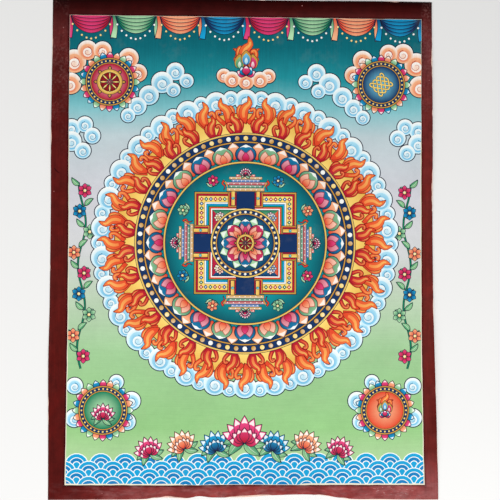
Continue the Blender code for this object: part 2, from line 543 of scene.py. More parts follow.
def medallion(spot, radius, field, deep_field):
    """A round frame: petals, a gold rim, beads on navy, and a shaded field."""
    for i, place in around(spot, radius * 0.86, 24):
        small_petal(place, radius * 0.26, radius * 0.34, *PAINTS[i % 4])
    discs(spot, ((0.97, INK), (0.95, GOLD), (0.91, INK), (0.89, NAVY)), radius)
    for _, place in around(spot, radius * 0.84, 32):
        lay(place(disc(radius * 0.036, count=7)), YELLOW)
    shade = glow(spot.origin, 0, radius * 0.72, field, deep_field)
    discs(spot, ((0.79, INK), (0.77, GOLD), (0.74, INK), (0.725, shade)), radius)


def sprig(spot, count, spacing, sway):
    """A climbing stem with leaves and flowers on both sides."""
    steps = np.arange(count * 2 + 1) * spacing / 2
    curve = spline(np.stack([sway * np.sin(steps / spacing * math.pi / 2), steps], 1), 2)
    lay(spot(blade(curve, 2.4)), INK)
    lay(spot(blade(curve, 1.3)), EMERALD)
    for i in range(count):
        y = (i + 0.5) * spacing
        side = 1 if i % 2 else -1
        x = sway * math.sin(y / spacing * math.pi / 2)
        leaf(spot.on(x, y, -side * 52), 13, *GREEN_PAINT)
        leaf(spot.on(x, y, -side * 104), 10, *GREEN_PAINT)
        leaf(spot.on(x, y + spacing * 0.35, side * 47), 12, GREEN, SAGE)
        rosette(spot.on(x + side * 5.5, y + spacing * 0.1), 7.6, *PAINTS[(i * 3) % 4])


# The rings of one scale of water, from the outermost. Columns: share of its radius, colour.
SCALE = (
    (1.0, WHITE), (0.93, BRIGHT_BLUE), (0.66, WHITE), (0.6, blend(BLUE, BRIGHT_BLUE, 0.35)),
    (0.34, WHITE), (0.27, BRIGHT_BLUE),
)


def waves(low, rows, radius):
    """A band of stylised water: rows of scales with fine white lines."""
    count = int(HALF[0] / radius) + 2
    for row in range(rows - 1, -1, -1):
        for i in range(count):
            middle = (-HALF[0] + (i * 2 + row % 2) * radius, low + row * radius * 0.62)
            for reach, colour in SCALE:
                lay(disc(radius * reach, middle, 18 if reach > 0.5 else 14), colour)


def swag(spot, width, depth, deep, light, bead_colour):
    """One hanging fold of a painted valance, with a string of beads below."""
    half = width / 2
    for share in (1.0, 0.8, 0.6, 0.4, 0.2):
        dip = depth * share
        lower = [(-half, 0), (-width * 0.3, -dip * 0.72), (0, -dip), (width * 0.3, -dip * 0.72), (half, 0)]
        outline = np.concatenate([spline(lower, 4), [(half, 2), (-half, 2)]])
        lined(spot(outline), upward(spot, -dip, -dip + depth * 0.3, light, deep))
    for side in (-1, 1):
        tail = [(side * half, 0), (side * width * 0.46, -depth * 0.6), (side * half, -depth * 1.25)]
        curve = spline(tail, 4)
        widths = np.linspace(3, 6.5, len(curve))
        lined(spot(blade(curve, widths)), upward(spot, 0, -depth, deep, light))
    for share in np.linspace(-0.42, 0.42, 9):
        bead(spot.on(width * share, -depth * 1.3 + depth * 1.1 * (share * 2) ** 2), 1.4, bead_colour)


# ---- the mandala

MANDALA_MIDDLE = (0, 6)
CLOUDS, FIRE, BEADS, PETALS = 153, 118, 109, 86.5  # radii where its rings start
PALACE_HALF = 55  # half of the palace's width


def cloud_ring(spot, radius, count):
    lobes = []
    for i in range(count):
        for shift, size, out in ((0.5, 8.5, 3.0), (0.0, 12.5, 0.0)):
            turned = TURN * i / count + shift * TURN / count
            reach = radius + out
            lobes.append((reach * math.sin(turned), reach * math.cos(turned), size * (-1) ** i))
    cloud(spot, lobes)


def fire_ring(spot, inner):
    ground_tone = glow(spot.origin, inner, inner + 22, YELLOW, OCHRE)
    discs(spot, ((inner + 22, DARK_RED), (inner + 21, ground_tone)))
    for i, place in around(spot, inner + 14, 40):
        flame(place.on(flip=(-1) ** i), 1.0, VERMILION, ORANGE)
    for i, place in around(spot, inner + 1, 32, 5):
        flame(place.on(flip=-((-1) ** i)), 0.86, CRIMSON, VERMILION)


def bead_ring(spot, outer, inner, count, size, colours):
    rim = glow(spot.origin, outer - 2, outer, GOLD, YELLOW)
    discs(spot, ((outer + 0.6, INK), (outer, rim), (outer - 1.5, INK), (outer - 2, NAVY)))
    for i, place in around(spot, (outer + inner) / 2 - 0.8, count):
        bead(place, size, colours[i % len(colours)])


def petal_ring(spot, base, count, width, height):
    for _, place in around(spot, base + height * 0.14, count, 180 / count):
        small_petal(place, width * 0.7, height * 0.98, *ORANGE_PAINT)
    for i, place in around(spot, base, count):
        petal(place, width, height, *((BLUE_PAINT, RED_PAINT), (GREEN_PAINT, ORANGE_PAINT))[i % 2])


def frieze(spot, half, depth, count, colours):
    """A row of lozenges along one wall of the palace."""
    step = 2 * half / count
    for i in range(count):
        x = -half + (i + 0.5) * step
        wide, tall = step * 0.46, depth * 0.42
        lozenge = np.array([(x - wide, 0), (x, -tall), (x + wide, 0), (x, tall)])
        lay(spot(lozenge), INK)
        lay(spot(grown(lozenge, -0.35)), colours[i % len(colours)])
        lay(spot(disc(depth * 0.12, (x, 0), 7)), WHITE)


# A gate's passage. Columns: half width, its low and high ends from the wall, colour.
PASSAGE = (
    (19, -17, -1, INK), (18.4, -16.4, -1, GOLD), (17.4, -15.4, -1, CRIMSON), (10, -19, 1, INK),
    (9.2, -19, 1, NAVY),
)
# The roofs of a gate, from the lowest. Columns: half width, height, colour.
ROOFS = (
    (20, 3.2, GOLD), (17.5, 2.6, EMERALD), (21.5, 2.8, CRIMSON), (15, 2.6, BLUE), (17.5, 2.4, GOLD),
    (10, 2.2, VERMILION),
)


def gate(spot, wall):
    """A gate in the middle of a wall: a passage between pillars, stepped roofs and a lotus on top."""
    for half_width, low, high, colour in PASSAGE:
        lay(spot(box(half_width, wall + low, wall + high)), colour)
    for side in (-1, 1):
        pillar = spot.on(side * 13.4, wall)
        lined(pillar(box(2.1, -15, 1)), fade(pillar((-1.8, 0)), pillar((1.8, 0)), OCHRE, YELLOW))
        bead(pillar.on(0, -7), 1.7, TURQUOISE)
    low = wall + 0.6
    for half_width, height, colour in ROOFS:
        lay(spot(box(half_width + 0.4, low - 0.4, low + height + 0.4)), INK)
        lit = upward(spot, low, low + height, colour, blend(colour, WHITE, 0.4))
        lay(spot(box(half_width, low, low + height)), lit)
        for i in range(-3, 4):
            lay(spot(disc(0.55, (i * half_width * 0.29, low + height / 2), 7)), WHITE)
        low += height + 0.4
    lotus(spot.on(0, low - 0.6), 7.5, *RED_PAINT)
    for side in (-1, 1):
        flag = spot.on(side * 19, wall + 4, side * -28)
        line(flag, [(0, 0), (0.6, 5), (0, 10)], 1.4, GOLD)
        banner = spline([(0, 9), (3 * side, 7), (2 * side, 3), (5 * side, 0)], 4)
        lined(flag(blade(banner, np.linspace(2.4, 0.6, len(banner)))), VERMILION, 0.6)


# The palace's walls, from outside. Columns: how far in from the outermost, colour.
WALLS = (
    (0, INK), (0.7, GOLD), (2.2, INK), (2.7, CRIMSON), (4.4, INK), (4.8, YELLOW), (11.2, INK),
    (11.6, WHITE), (13.0, INK), (13.4, BRIGHT_BLUE), (15.0, EMERALD), (16.6, VERMILION), (18.2, WHITE),
    (19.4, INK),
)


def palace(spot, half):
    """The square palace: nested walls, a frieze, four gates and a court of four colours."""
    for depth, colour in WALLS:
        lay(spot(box(half - depth, -half + depth, half - depth)), colour)
    court = half - 20
    sides = [spot.on(turn=90 * i) for i in range(4)]
    for side, (deep, light) in zip(sides, (GREEN_PAINT, RED_PAINT, BLUE_PAINT, ORANGE_PAINT)):
        lay(side([(0, 0), (court, court), (-court, court)]), upward(side, 20, court, light, deep))
    for side, tone in zip(sides, (CRIMSON, YELLOW, ORANGE, BLUE)):
        frieze(side.on(0, half - 8), half - 5.5, 6, 20, (CRIMSON, EMERALD, BLUE, VERMILION))
        gate(side, half)
        for lean in (-1, 1):
            place = side.on(lean * 27, court - 5.5)
            rosette(place, 4.2, tone, WHITE)
            line(place, [(lean * 4, 0), (lean * 2, -5), (lean * -3, -6)], 0.8, WHITE)


def garden(spot):
    """Flowering sprays in the field between the palace and the petals."""
    for i in range(4):
        for lean in (-1, 1):
            root = spot.on(turn=90 * i).on(lean * 34, 61, lean * -8, lean)
            for turn, size in ((-60, 9), (-25, 11), (20, 10), (58, 8)):
                leaf(root.on(turn=turn), size, *GREEN_PAINT)
            rosette(root.on(0, 6), 6, *PAINTS[(i + (lean > 0)) % 4])


def heart(spot):
    """The middle of the court: a beaded ring, an eight-petalled lotus and a golden wheel."""
    bead_ring(spot, 37, 31, 36, 1.7, (WHITE, YELLOW))
    discs(spot, ((31.6, GOLD), (30.6, INK), (30, glow(spot.origin, 8, 30, TURQUOISE, NAVY))))
    for _, place in around(spot, 9, 8, 22.5):
        small_petal(place, 13, 20.5, *GREEN_PAINT)
    for i, place in around(spot, 8, 8):
        petal(place, 14.5, 18.5, *((BLUE_PAINT, RED_PAINT), (RED_PAINT, ORANGE_PAINT))[i % 2])
    wheel(spot, 9.5)


def mandala(spot):
    cloud_ring(spot, CLOUDS, 30)
    fire_ring(spot, FIRE)
    bead_ring(spot, FIRE, BEADS, 76, 3.1, (YELLOW, GOLD, WHITE, GOLD))
    field = glow(spot.origin, 88, 107, TEAL, NAVY)
    discs(spot, ((109.6, INK), (109, GOLD), (107.8, INK), (107.2, field)))
    petal_ring(spot, PETALS, 24, 22, 20)
    rim, field = glow(spot.origin, 85, 88, GOLD, YELLOW), glow(spot.origin, 40, 86, TURQUOISE, TEAL_DEEP)
    discs(spot, ((88, INK), (87.4, rim), (85.8, INK), (85.2, field)))
    garden(spot)
    palace(spot, PALACE_HALF)
    heart(spot)


# ---- the whole picture

# The ground's tones. Columns: height from the picture's middle, colour.
GROUND = painted((
    (-250, "c3dab8"), (-225, "a7ca94"), (-190, "8fc07e"), (-110, "9bc490"), (-50, "bacdb2"), (-5, "cfd0cf"),
    (60, "cdccd1"), (120, "bccbce"), (150, "7fbfc4"), (180, "1f8f98"), (215, "046873"), (250, "00545f"),
))


def tone_along(table, places, column=1):
    """Colours between the rows of a table, at places along it."""
    where = [row[0] for row in table]
    return np.stack([np.interp(places, where, [row[column][i] for row in table]) for i in range(3)], 1)


def ground(points):
    return tone_along(GROUND, points[:, 1])


def frame_rect(margin):
    """The picture's rectangle, larger all round by a margin."""
    x, y = HALF + margin
    return np.array([(-x, -y), (x, -y), (x, y), (-x, y)])


# How far the picture's painted edge lies outside its true rectangle, on the stretched canvas.
# Columns: place along the side, distance outwards.
DRIFT = {
    "bottom": ((-190, 0.0), (-80, -0.3), (20, -1.1), (70, -1.1), (120, 0.2), (190, 0.8)),
    "top": ((-190, -0.7), (-76, -0.8), (14, -1.15), (134, -1.1), (190, -0.75)),
    "left": ((-250, -0.5), (-150, -1.55), (-90, -1.75), (30, -1.55), (110, -0.9), (250, -0.7)),
    "right": ((-250, 2.7), (-214, 1.5), (-144, 0.2), (-105, -0.5), (180, -0.6), (250, 0.0)),
}
FRAME_STEP = 7
FRAME_EDGE = (0.15, 1)  # how far the painted edge wanders, and the seed of its wandering
UNDER_FRAME = 4  # how far the ground is painted on past the picture's edge


def frame_line(out, wander, seed):
    """The picture's painted edge, or a line at a distance outside it, where the brush wanders."""
    rng = random.Random(seed)
    corners = frame_rect(out)
    points = []
    for a, b in zip(corners, np.roll(corners, -1, 0)):
        count = int(np.linalg.norm(b - a) / FRAME_STEP)
        for i in range(count):
            shake = (rng.uniform(-wander, wander), rng.uniform(-wander, wander)) if i else (0, 0)
            points.append(a + (b - a) * i / count + shake)
    x, y = np.transpose(points)
    places = {"left": y, "right": y, "bottom": x, "top": x}
    drift = {side: np.interp(places[side], *np.transpose(DRIFT[side])) for side in DRIFT}
    wide = np.where(x > 0, drift["right"], -drift["left"]) * np.abs(x / HALF[0]) ** 8
    tall = np.where(y > 0, drift["top"], -drift["bottom"]) * np.abs(y / HALF[1]) ** 8
    return np.stack([x + wide, y + tall], 1)


# Banks of cloud in each half of the picture. Columns: middle x and y, lobes, warm or not.
TOP_CLOUDS = (
    (150, 178, ((34, 22, 13), (20, 34, 11), (38, -2, -12), (-34, 10, 10), (-24, 26, 11), (4, 34, -10)), True),
    (
        96, 168,
        ((-20, 22, 10), (-6, 10, 12), (8, -4, 11), (20, -16, 10), (30, -26, 8), (-32, 12, 8), (-18, 2, -8)),
        False,
    ),
    (172, 112, ((14, 16, 10), (0, 20, -9), (14, 2, -11), (-8, 8, 9), (2, -8, 9)), False),
)
WARM = (VERMILION, PEACH, PEACH)
SWAGS, SWAG_DEPTH = 8, 20
TOP_MEDALLION, LOW_MEDALLION, MEDALLION_RADIUS = (146, 178), (150, -172), 27
# The lotuses over the water, in each half. Columns: x, y, lean, size, colours.
LOTUSES = (
    (30, -214, -16, 20, BLUE_PAINT), (64, -212, -30, 19, ORANGE_PAINT), (100, -218, -20, 18, RED_PAINT),
)


def top_of_picture():
    width = 2 * HALF[0] / SWAGS
    for i in range(SWAGS):
        tones = PAINTS[(0, 2, 3, 1)[i % 4]]
        swag(Spot(-HALF[0] + width * (i + 0.5), HALF[1]), width, SWAG_DEPTH, *tones, (YELLOW, WHITE)[i % 2])
    out, up = TOP_MEDALLION
    for side, tones in ((-1, (ROSE, CRIMSON)), (1, (SKY, NAVY))):
        for x, y, lobes, warm in TOP_CLOUDS:
            cloud(Spot(side * x, y, flip=side), lobes, *(WARM if warm else ()))
        medallion(Spot(side * out, up), MEDALLION_RADIUS, *tones)
    wheel(Spot(-out, up), 13.5)
    endless_knot(Spot(out, up, 45), 10.5)
    cloud(Spot(0, 190), ((-24, -4, 8), (24, -4, -8), (-15, -8, -9), (15, -8, 9), (0, -10, 9)), *WARM)
    jewels(Spot(0, 194), 21)


def bottom_of_picture():
    waves(-HALF[1] - 3, 4, 12.8)
    out, up = LOW_MEDALLION
    for side, tones in ((-1, (PALE_GREEN, EMERALD)), (1, (PEACH, VERMILION))):
        lobes = ((30, 24, 9), (-30, 8, 10), (-26, -14, -9), (30, -10, 10), (-14, 28, 8))
        cloud(Spot(side * out, up + 2, flip=side), lobes)
        medallion(Spot(side * out, up), MEDALLION_RADIUS, *tones)
        for x, y, lean, size, petals in LOTUSES:
            lotus(Spot(side * x, y, side * lean), size, *petals)
    lotus(Spot(-out, up - 8), 15, *RED_PAINT)
    jewels(Spot(out, up - 2), 13)
    lotus(Spot(0, -206), 27, *RED_PAINT)


# ---- the border

# The coat of maroon, with light and shade painted into it: darkest at the top edge, which curls away from the
# light (painted shade), lighter on the right side than on the left (painted light), brightest low on the
# right (painted sheen) and dark low on the left (painted shadow). Columns: height from the picture's middle,
# colour at the left side, colour at the right side.
COAT_AND_LIGHT = painted((
    (-250, "4c0f0c", "864140"), (-215, "4e110e", "5b1914"), (-60, "521410", "65231e"),
    (150, "541614", "672522"), (195, "4f1a18", "6a302f"), (222, "5a2322", "6a3132"),
    (240, "531e1d", "622a29"), (260, "2a0202", "350302"), (269, "120101", "1a0101"),
))
# The coat below the picture, lightened towards the right by a painted sheen and darkened at the left corner
# by a painted shadow. Columns: place to the right of its middle, colour.
LOW_COAT_AND_SHEEN = painted((
    (-196, "50110e"), (-160, "5d1d1b"), (-122, "793231"), (-80, "843936"), (20, "843533"),
    (120, "873937"), (170, "8d4a49"), (205, "894443"),
))
WORN_LOW, WORN_HIGH = 115, 40  # most wear: this far from the bottom's middle, above this on the right
LEAST_WEAR = 0.12  # the maroon reaches the cut edge where it would stop less than this short of it
SCUFF_AND_SHEEN_FLECKS = 44
FLECKS = ((-150, -259), (12, -255), (198, 183), (-204, 60), (60, 262), (-196, 236))
SCRATCH = (-204, 85)


# The maroon with its painted light and shade: the sides' tones blended from left to right, and the tones
# below the picture blended in at the bottom.
def coat(points):
    x, y = points.T
    share = np.clip(x / (2 * HALF[0]) + 0.5, 0, 1)[:, None]
    sides = blend(tone_along(COAT_AND_LIGHT, y, 1), tone_along(COAT_AND_LIGHT, y, 2), share)
    return blend(sides, tone_along(LOW_COAT_AND_SHEEN, x), np.clip((-249 - y) / 6, 0, 1)[:, None])


def edged(strength):
    """The coat, darkened beside the picture, and less so towards the right."""

    def shade(points):
        share = strength * np.interp(points[:, 0], (-HALF[0], HALF[0]), (1.0, 0.6))
        return blend(coat(points), MAROON_DARK, share[:, None])

    return shade


def inset(points, depths):
    """A closed outline moved inwards by a distance for each of its points."""
    one = points - grown(points, -1.0)
    return points - one * np.asarray(depths)[:, None]


def ripple(count, speeds, rng):
    """A smooth random wave round a closed outline, from about -1 to 1."""
    t = np.arange(count) * TURN / count
    return sum(np.sin(t * rng.randint(*speeds) + rng.uniform(0, TURN)) for _ in range(8)) / 3


def worn_edge():
    """The edge of the maroon paint: it runs to the cut edge, and stops short of it in worn patches."""
    rng = random.Random(7)
    x, y = OUTLINE.T
    places = [(y < -HALF[1]) & (np.abs(x) < WORN_LOW), (x > HALF[0]) & (y > WORN_HIGH)]
    depth, share = np.select(places, [1.0, 0.8], 0.6), np.select(places, [0.45, 0.3], -0.25)
    wave = ripple(len(OUTLINE), (12, 40), rng) + 0.4 * ripple(len(OUTLINE), (60, 160), rng)
    worn = depth * np.clip(wave + share, 0, 1.6)
    return inset(OUTLINE, np.where(worn < LEAST_WEAR, 0.0, worn))


def bare_width(ring):
    """How far the bare ground shows inside the frame's line, at each of its points."""
    x, y = ring.T
    rng = random.Random(2)
    width = np.where(y < 3 - HALF[1], np.where(np.abs(x + 5) < 62, 0.35, 1.3), 0.75)
    width = np.where(y > 120, 0.22, width)
    return width * [rng.uniform(0.75, 1.25) for _ in x]


def border():
    edge = frame_line(0, *FRAME_EDGE)
    lay([OUTLINE, edge], RAW_COTTON)
    lay([edge, inset(edge, bare_width(edge))], BARE_GROUND)
    lay([worn_edge(), edge], coat)
    lay([frame_line(2.2, 0.3, 3), edge], edged(0.4))
    lay([frame_line(1.1, 0.2, 4), edge], edged(1.0))
    rng = random.Random(11)
    # Pale streaks low on the right: scuffed paint, and part of the painted sheen there.
    for _ in range(SCUFF_AND_SHEEN_FLECKS):
        fleck = Spot(min(rng.gauss(164, 14), 195), -HALF[1] - rng.uniform(2.5, 12.5), rng.uniform(-14, 10))
        tone = blend(coat(np.array([fleck.origin]))[0], WHITE, rng.uniform(0.06, 0.24))
        ragged = disc(1, count=7) * [[rng.uniform(0.6, 1.3)] for _ in range(7)]
        lay(fleck(ragged * (rng.uniform(0.4, 1.9), rng.uniform(0.14, 0.3))), tone)
    for x, y in FLECKS:
        lay(Spot(x, y)(disc(1, count=6) * (0.6, 0.4)), FLECK)
    line(Spot(*SCRATCH), [(0, 0), (3, -3.5), (6, -5.5)], 1.0, MAROON_DARK)


def compose():
    lay(OUTLINE, PRIMING)
    lay(frame_rect(UNDER_FRAME), ground)
    for side in (-1, 1):
        sprig(Spot(side * 174, -128, flip=side), 9, 22, 4)
    top_of_picture()
    bottom_of_picture()
    mandala(Spot(*MANDALA_MIDDLE))
    border()


# ---- from shapes to a mesh

LEVEL = 1e-12  # stands for the rise of a level edge, which no point lies beside
MERGE = 0.02  # points closer than this, in millimetres, become one
SHORTEST = 0.001  # an edge shorter than this closes up


def odd_inside(rings, points):
    """Which points lie inside an odd number of the closed outlines."""
    start = np.concatenate(rings)
    end = np.concatenate([np.roll(ring, -1, 0) for ring in rings])
    along, rise = (end - start).T
    slope = along / np.where(rise == 0, LEVEL, rise)
    order = np.argsort(points[:, 1])
    x, y = points[order].T
    firsts, lasts = np.searchsorted(y, np.sort([start[:, 1], end[:, 1]], 0))
    odd = np.zeros(len(points), bool)
    for (from_x, from_y), lean, i, j in zip(start, slope, firsts, lasts):
        odd[i:j] ^= x[i:j] < from_x + (y[i:j] - from_y) * lean
    inside = np.empty(len(points), bool)
    inside[order] = odd
    return inside


class Sorted:
    """Points sorted by x, so that those in a shape's box are found quickly."""

    def __init__(self, points):
        self.order = np.argsort(points[:, 0])
        self.points = points[self.order]

    def inside(self, rings):
        whole = np.concatenate(rings)
        low, high = whole.min(0), whole.max(0)
        first, last = np.searchsorted(self.points[:, 0], (low[0], high[0]))
        near = self.points[first:last]
        picked = np.flatnonzero((near[:, 1] >= low[1]) & (near[:, 1] <= high[1]))
        found = odd_inside(rings, near[picked])
        return self.order[first:last][picked[found]]


def visible_edges():
    """The two ends of each edge of the outlines that no later shape covers."""
    rings = [(ring, number) for number, (outlines, _) in enumerate(shapes) for ring in outlines]
    starts = np.concatenate([ring for ring, _ in rings])
    ends = np.concatenate([np.roll(ring, -1, 0) for ring, _ in rings])
    owners = np.repeat([number for _, number in rings], [len(ring) for ring, _ in rings])
    trials = [Sorted(p) for p in (starts, ends, (starts + ends) / 2)]
    shown = np.ones(len(owners), bool)
    for number, (outlines, _) in enumerate(shapes):
        covered = functools.reduce(np.intersect1d, (trial.inside(outlines) for trial in trials))
        shown[covered[owners[covered] < number]] = False
    return starts[shown], ends[shown]


def grid_points(step, margin):
    """Points of a regular grid that lie inside the cut edge, clear of it by a margin."""
    low, high = OUTLINE.min(0) + step / 2, OUTLINE.max(0)
    columns, rows = [np.arange(first, last, step) for first, last in zip(low, high)]
    points = np.stack(np.meshgrid(columns, rows), -1).reshape(-1, 2)
    return points[odd_inside([grown(OUTLINE, -margin)], points)]


def edges_of(triangles):
    return np.concatenate([triangles[:, [0, 1]], triangles[:, [1, 2]], triangles[:, [2, 0]]])


def closed_up(places, triangles):
    """The triangles without those that have an edge too short to see: its two ends become one."""
    edges = edges_of(triangles)
    length = np.linalg.norm(places[edges[:, 0]] - places[edges[:, 1]], axis=1)
    for kept, dropped in edges[length < SHORTEST]:
        triangles[triangles == dropped] = kept
    return triangles[(triangles != np.roll(triangles, 1, 1)).all(1)]


def triangulate(starts, ends, loose):
    """Triangles over the points inside the cut edge, with the given edges kept: the vertices, the
    triangles, and the vertex that each start became."""
    count = len(starts)
    points = np.concatenate([starts, ends, loose])
    edges = [(i, i + count) for i in range(count)]
    found = delaunay_2d_cdt([Vector(p) for p in points], edges, [], 0, MERGE, True)
    places = np.array([tuple(v) for v in found[0]])
    triangles = np.array(found[2])
    triangles = triangles[np.sort(Sorted(places[triangles].mean(1)).inside([OUTLINE]))]
    triangles = closed_up(places, triangles)
    used, packed = np.unique(triangles, return_inverse=True)
    number = np.full(len(places), -1)
    number[used] = np.arange(len(used))
    became = np.full(len(points), -1)
    for vertex, sources in enumerate(found[3]):
        became[sources] = number[vertex]
    return places[used], packed.reshape(-1, 3), became[:count]


def colours_of(corners):
    """The paint at each corner of each triangle, from the last shape painted over its middle."""
    owner = np.zeros(len(corners), int)
    middles = Sorted(corners.mean(1))
    for number, (rings, _) in enumerate(shapes):
        owner[middles.inside(rings)] = number
    colours = np.zeros(corners.shape[:2] + (3,))
    order = np.argsort(owner, kind="stable")
    firsts = np.searchsorted(owner[order], np.arange(len(shapes) + 1))
    for (_, shade), first, last in zip(shapes, firsts, firsts[1:]):
        if last > first:
            mine = order[first:last]
            flat = corners[mine].reshape(-1, 2)
            tone = shade(flat) if callable(shade) else np.broadcast_to(shade, (len(flat), 3))
            colours[mine] = tone.reshape(-1, 3, 3)
    return colours


def boundary_loop(triangles):
    """The mesh's boundary, as vertex numbers in order."""
    present = {(a, b) for a, b in edges_of(triangles).tolist()}
    after = {a: b for a, b in present if (b, a) not in present}
    loop = [next(iter(after))]
    while after[loop[-1]] != loop[0]:
        loop.append(after[loop[-1]])
    return loop


def surface_normals(points):
    """Unit normals of the face that looks up."""
    step = 0.5
    dx, dy = [(relief(points + way) - relief(points - way)) / (2 * step) for way in ((step, 0), (0, step))]
    return unit(np.stack([-dx, -dy, np.ones(len(points))], 1))


def to_frame(points, heights):
    """Picture millimetres to the frame's metres."""
    return np.column_stack([points + PICTURE_TO_FRAME, heights]) * MM


def add_object(name, data):
    thing = bpy.data.objects.new(name, data)
    bpy.context.scene.collection.objects.link(thing)
    return thing


PICTURE, BORDER, EDGE, BACK = range(4)  # the sheet's materials
RIM_DROP, RIM_RISE = 0.34, 0.24  # how far the cut rounds off the front's rim and the back's
EDGE_NORMAL, FACE_NORMAL = (0.6, 1.0), (1.0, 0.5)  # how much a normal at the rim faces up, and outwards
FRONT_SHARE, MAP_GAP = 0.78, 0.006  # of the baked map's width
EDGE_STRIPS = 4  # the cut edge lies on the map in this many strips
STRIP_WIDTH, STRIP_PITCH = 0.003, 0.005
BACK_SHARE = 1 - FRONT_SHARE - 2 * MAP_GAP - EDGE_STRIPS * STRIP_PITCH


def build_canvas(materials):
    compose()
    places, front, _ = triangulate(*visible_edges(), grid_points(*FRONT_GRID))
    loop = boundary_loop(front)
    rim = places[loop]
    under, back, below_rim = triangulate(rim, np.roll(rim, -1, 0), grid_points(*BACK_GRID))
    first = len(places)
    lower = (below_rim + first).tolist()
    flat = np.concatenate([places, under])
    heights = relief(flat)
    heights[:first] += THICKNESS
    heights[loop] -= RIM_DROP
    heights[lower] += RIM_RISE
    walls = list(zip(loop, lower, lower[1:] + lower[:1], loop[1:] + loop[:1]))
    faces = front.tolist() + walls + (back[:, ::-1] + first).tolist()
    mesh = bpy.data.meshes.new("painted_canvas")
    mesh.from_pydata(to_frame(flat, heights).tolist(), [], faces)
    for material in materials:
        mesh.materials.append(material)
    in_picture = odd_inside([frame_line(0, *FRAME_EDGE)], places[front].mean(1))
    kinds = np.concatenate(
        [np.where(in_picture, PICTURE, BORDER), np.full(len(walls), EDGE), np.full(len(back), BACK)]
    )
    mesh.polygons.foreach_set("material_index", kinds.astype(np.int32))
    mesh.polygons.foreach_set("use_smooth", np.ones(len(faces), bool))
    facing = surface_normals(flat)
    facing[first:] *= -1
    outward = np.zeros((len(flat), 3))
    for rim_vertices in (loop, lower):
        outward[rim_vertices, :2] = grown(rim, 1.0) - rim
    finish_canvas(mesh, kinds, colours_of(places[front]), flat, facing, outward)
    return add_object("painted_canvas", mesh)


def baked_places(flat, corner_vertex, kind):
    """Each corner's place on the map for the bake: the front, the back beside it, then the cut edge
    in narrow strips."""
    low, high = OUTLINE.min(0), OUTLINE.max(0)
    on_front = kind <= BORDER
    uv = ((flat - low) / (high - low))[corner_vertex]
    uv[:, 0] *= np.where(on_front, FRONT_SHARE, BACK_SHARE)
    uv[:, 0] += np.where(on_front, 0, FRONT_SHARE + MAP_GAP)
    walls = np.count_nonzero(kind == EDGE) // 4
    length = math.ceil(walls / EDGE_STRIPS)
    strip, step = np.divmod(np.arange(walls)[:, None], length)
    across = 1 - (EDGE_STRIPS - strip) * STRIP_PITCH + STRIP_WIDTH * np.array([0, 1, 1, 0])
    along = (step + np.array([0, 0, 1, 1])) / length
    uv[kind == EDGE] = np.stack([across, along], -1).reshape(-1, 2)
    return uv


def finish_canvas(mesh, kinds, colours, flat, facing, outward):
    """The paint, the map for the bake and the shading normals, corner by corner."""
    corner_vertex = np.zeros(len(mesh.loops), np.int32)
    mesh.loops.foreach_get("vertex_index", corner_vertex)
    kind = np.repeat(kinds, np.where(kinds == EDGE, 4, 3))
    tone = np.tile((*PRIMING, 1), (len(kind), 1))
    tone[kind <= BORDER, :3] = colours.reshape(-1, 3)
    layer = mesh.color_attributes.new("paint", "FLOAT_COLOR", "CORNER")
    layer.data.foreach_set("color", tone.astype(np.float32).ravel())
    bake = mesh.uv_layers.new(name="OFBake", do_init=False)
    bake.uv.foreach_set("vector", baked_places(flat, corner_vertex, kind).astype(np.float32).ravel())
    up, out = np.where((kind == EDGE)[:, None], EDGE_NORMAL, FACE_NORMAL).T
    normals = up[:, None] * facing[corner_vertex] + out[:, None] * outward[corner_vertex]
    mesh.normals_split_custom_set(unit(normals).tolist())


# ---- materials


def tint(code):
    """A pigment from its sRGB code, for a shader's socket."""
    return (*paint(code), 1)


